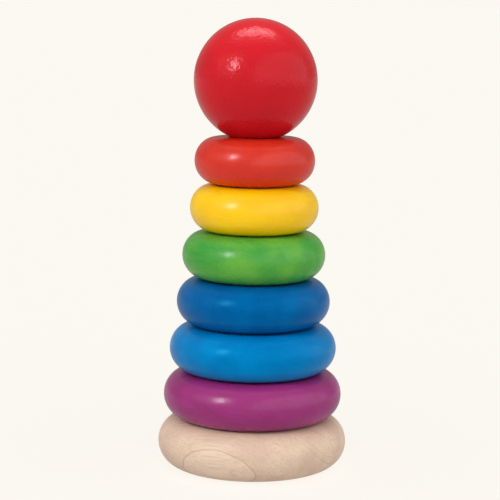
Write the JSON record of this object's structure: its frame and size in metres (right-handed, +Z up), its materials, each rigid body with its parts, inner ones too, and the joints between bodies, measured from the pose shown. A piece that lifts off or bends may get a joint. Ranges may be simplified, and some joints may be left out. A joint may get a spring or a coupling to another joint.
{
  "type": "stacking ring toy",
  "caption": "Wooden stacking toy: graded rings with rounded sides drop over a post on a round base, under a ball cap.",
  "frame": {"origin": "centre of the base's flat underside, on the surface that the toy stands on", "axes": "+Z up along the post's axis, which is the axis of symmetry of every piece; X and Y are free"},
  "size_m": [0.09, 0.09, 0.2132],
  "materials": {
    "natural_wood": "clear satin lacquer over pale wood",
    "purple_lacquer": "translucent gloss lacquer",
    "light_blue_lacquer": "translucent gloss lacquer",
    "dark_blue_lacquer": "translucent gloss lacquer",
    "green_lacquer": "translucent gloss lacquer",
    "yellow_lacquer": "translucent gloss lacquer",
    "orange_lacquer": "translucent gloss lacquer",
    "red_lacquer": "translucent gloss lacquer"
  },
  "bodies": {
    "stand": {"base": "natural_wood", "post": "natural_wood"},
    "purple_ring": {"purple_ring": "purple_lacquer"},
    "light_blue_ring": {"light_blue_ring": "light_blue_lacquer"},
    "dark_blue_ring": {"dark_blue_ring": "dark_blue_lacquer"},
    "green_ring": {"green_ring": "green_lacquer"},
    "yellow_ring": {"yellow_ring": "yellow_lacquer"},
    "orange_ring": {"orange_ring": "orange_lacquer"},
    "ball": {"ball": "red_lacquer"}
  },
  "joints": [
    {"name": "purple_ring_lift", "type": "slide", "parent": "stand", "child": "purple_ring", "axis": [0, 0, 1], "range_m": [0, 0.1694]},
    {"name": "light_blue_ring_lift", "type": "slide", "parent": "purple_ring", "child": "light_blue_ring", "axis": [0, 0, 1], "range_m": [0, 0.147]},
    {"name": "dark_blue_ring_lift", "type": "slide", "parent": "light_blue_ring", "child": "dark_blue_ring", "axis": [0, 0, 1], "range_m": [0, 0.1246]},
    {"name": "green_ring_lift", "type": "slide", "parent": "dark_blue_ring", "child": "green_ring", "axis": [0, 0, 1], "range_m": [0, 0.1022]},
    {"name": "yellow_ring_lift", "type": "slide", "parent": "green_ring", "child": "yellow_ring", "axis": [0, 0, 1], "range_m": [0, 0.0798]},
    {"name": "orange_ring_lift", "type": "slide", "parent": "yellow_ring", "child": "orange_ring", "axis": [0, 0, 1], "range_m": [0, 0.0574]},
    {"name": "ball_lift", "type": "slide", "parent": "orange_ring", "child": "ball", "axis": [0, 0, 1], "range_m": [0, 0.035]}
  ]
}
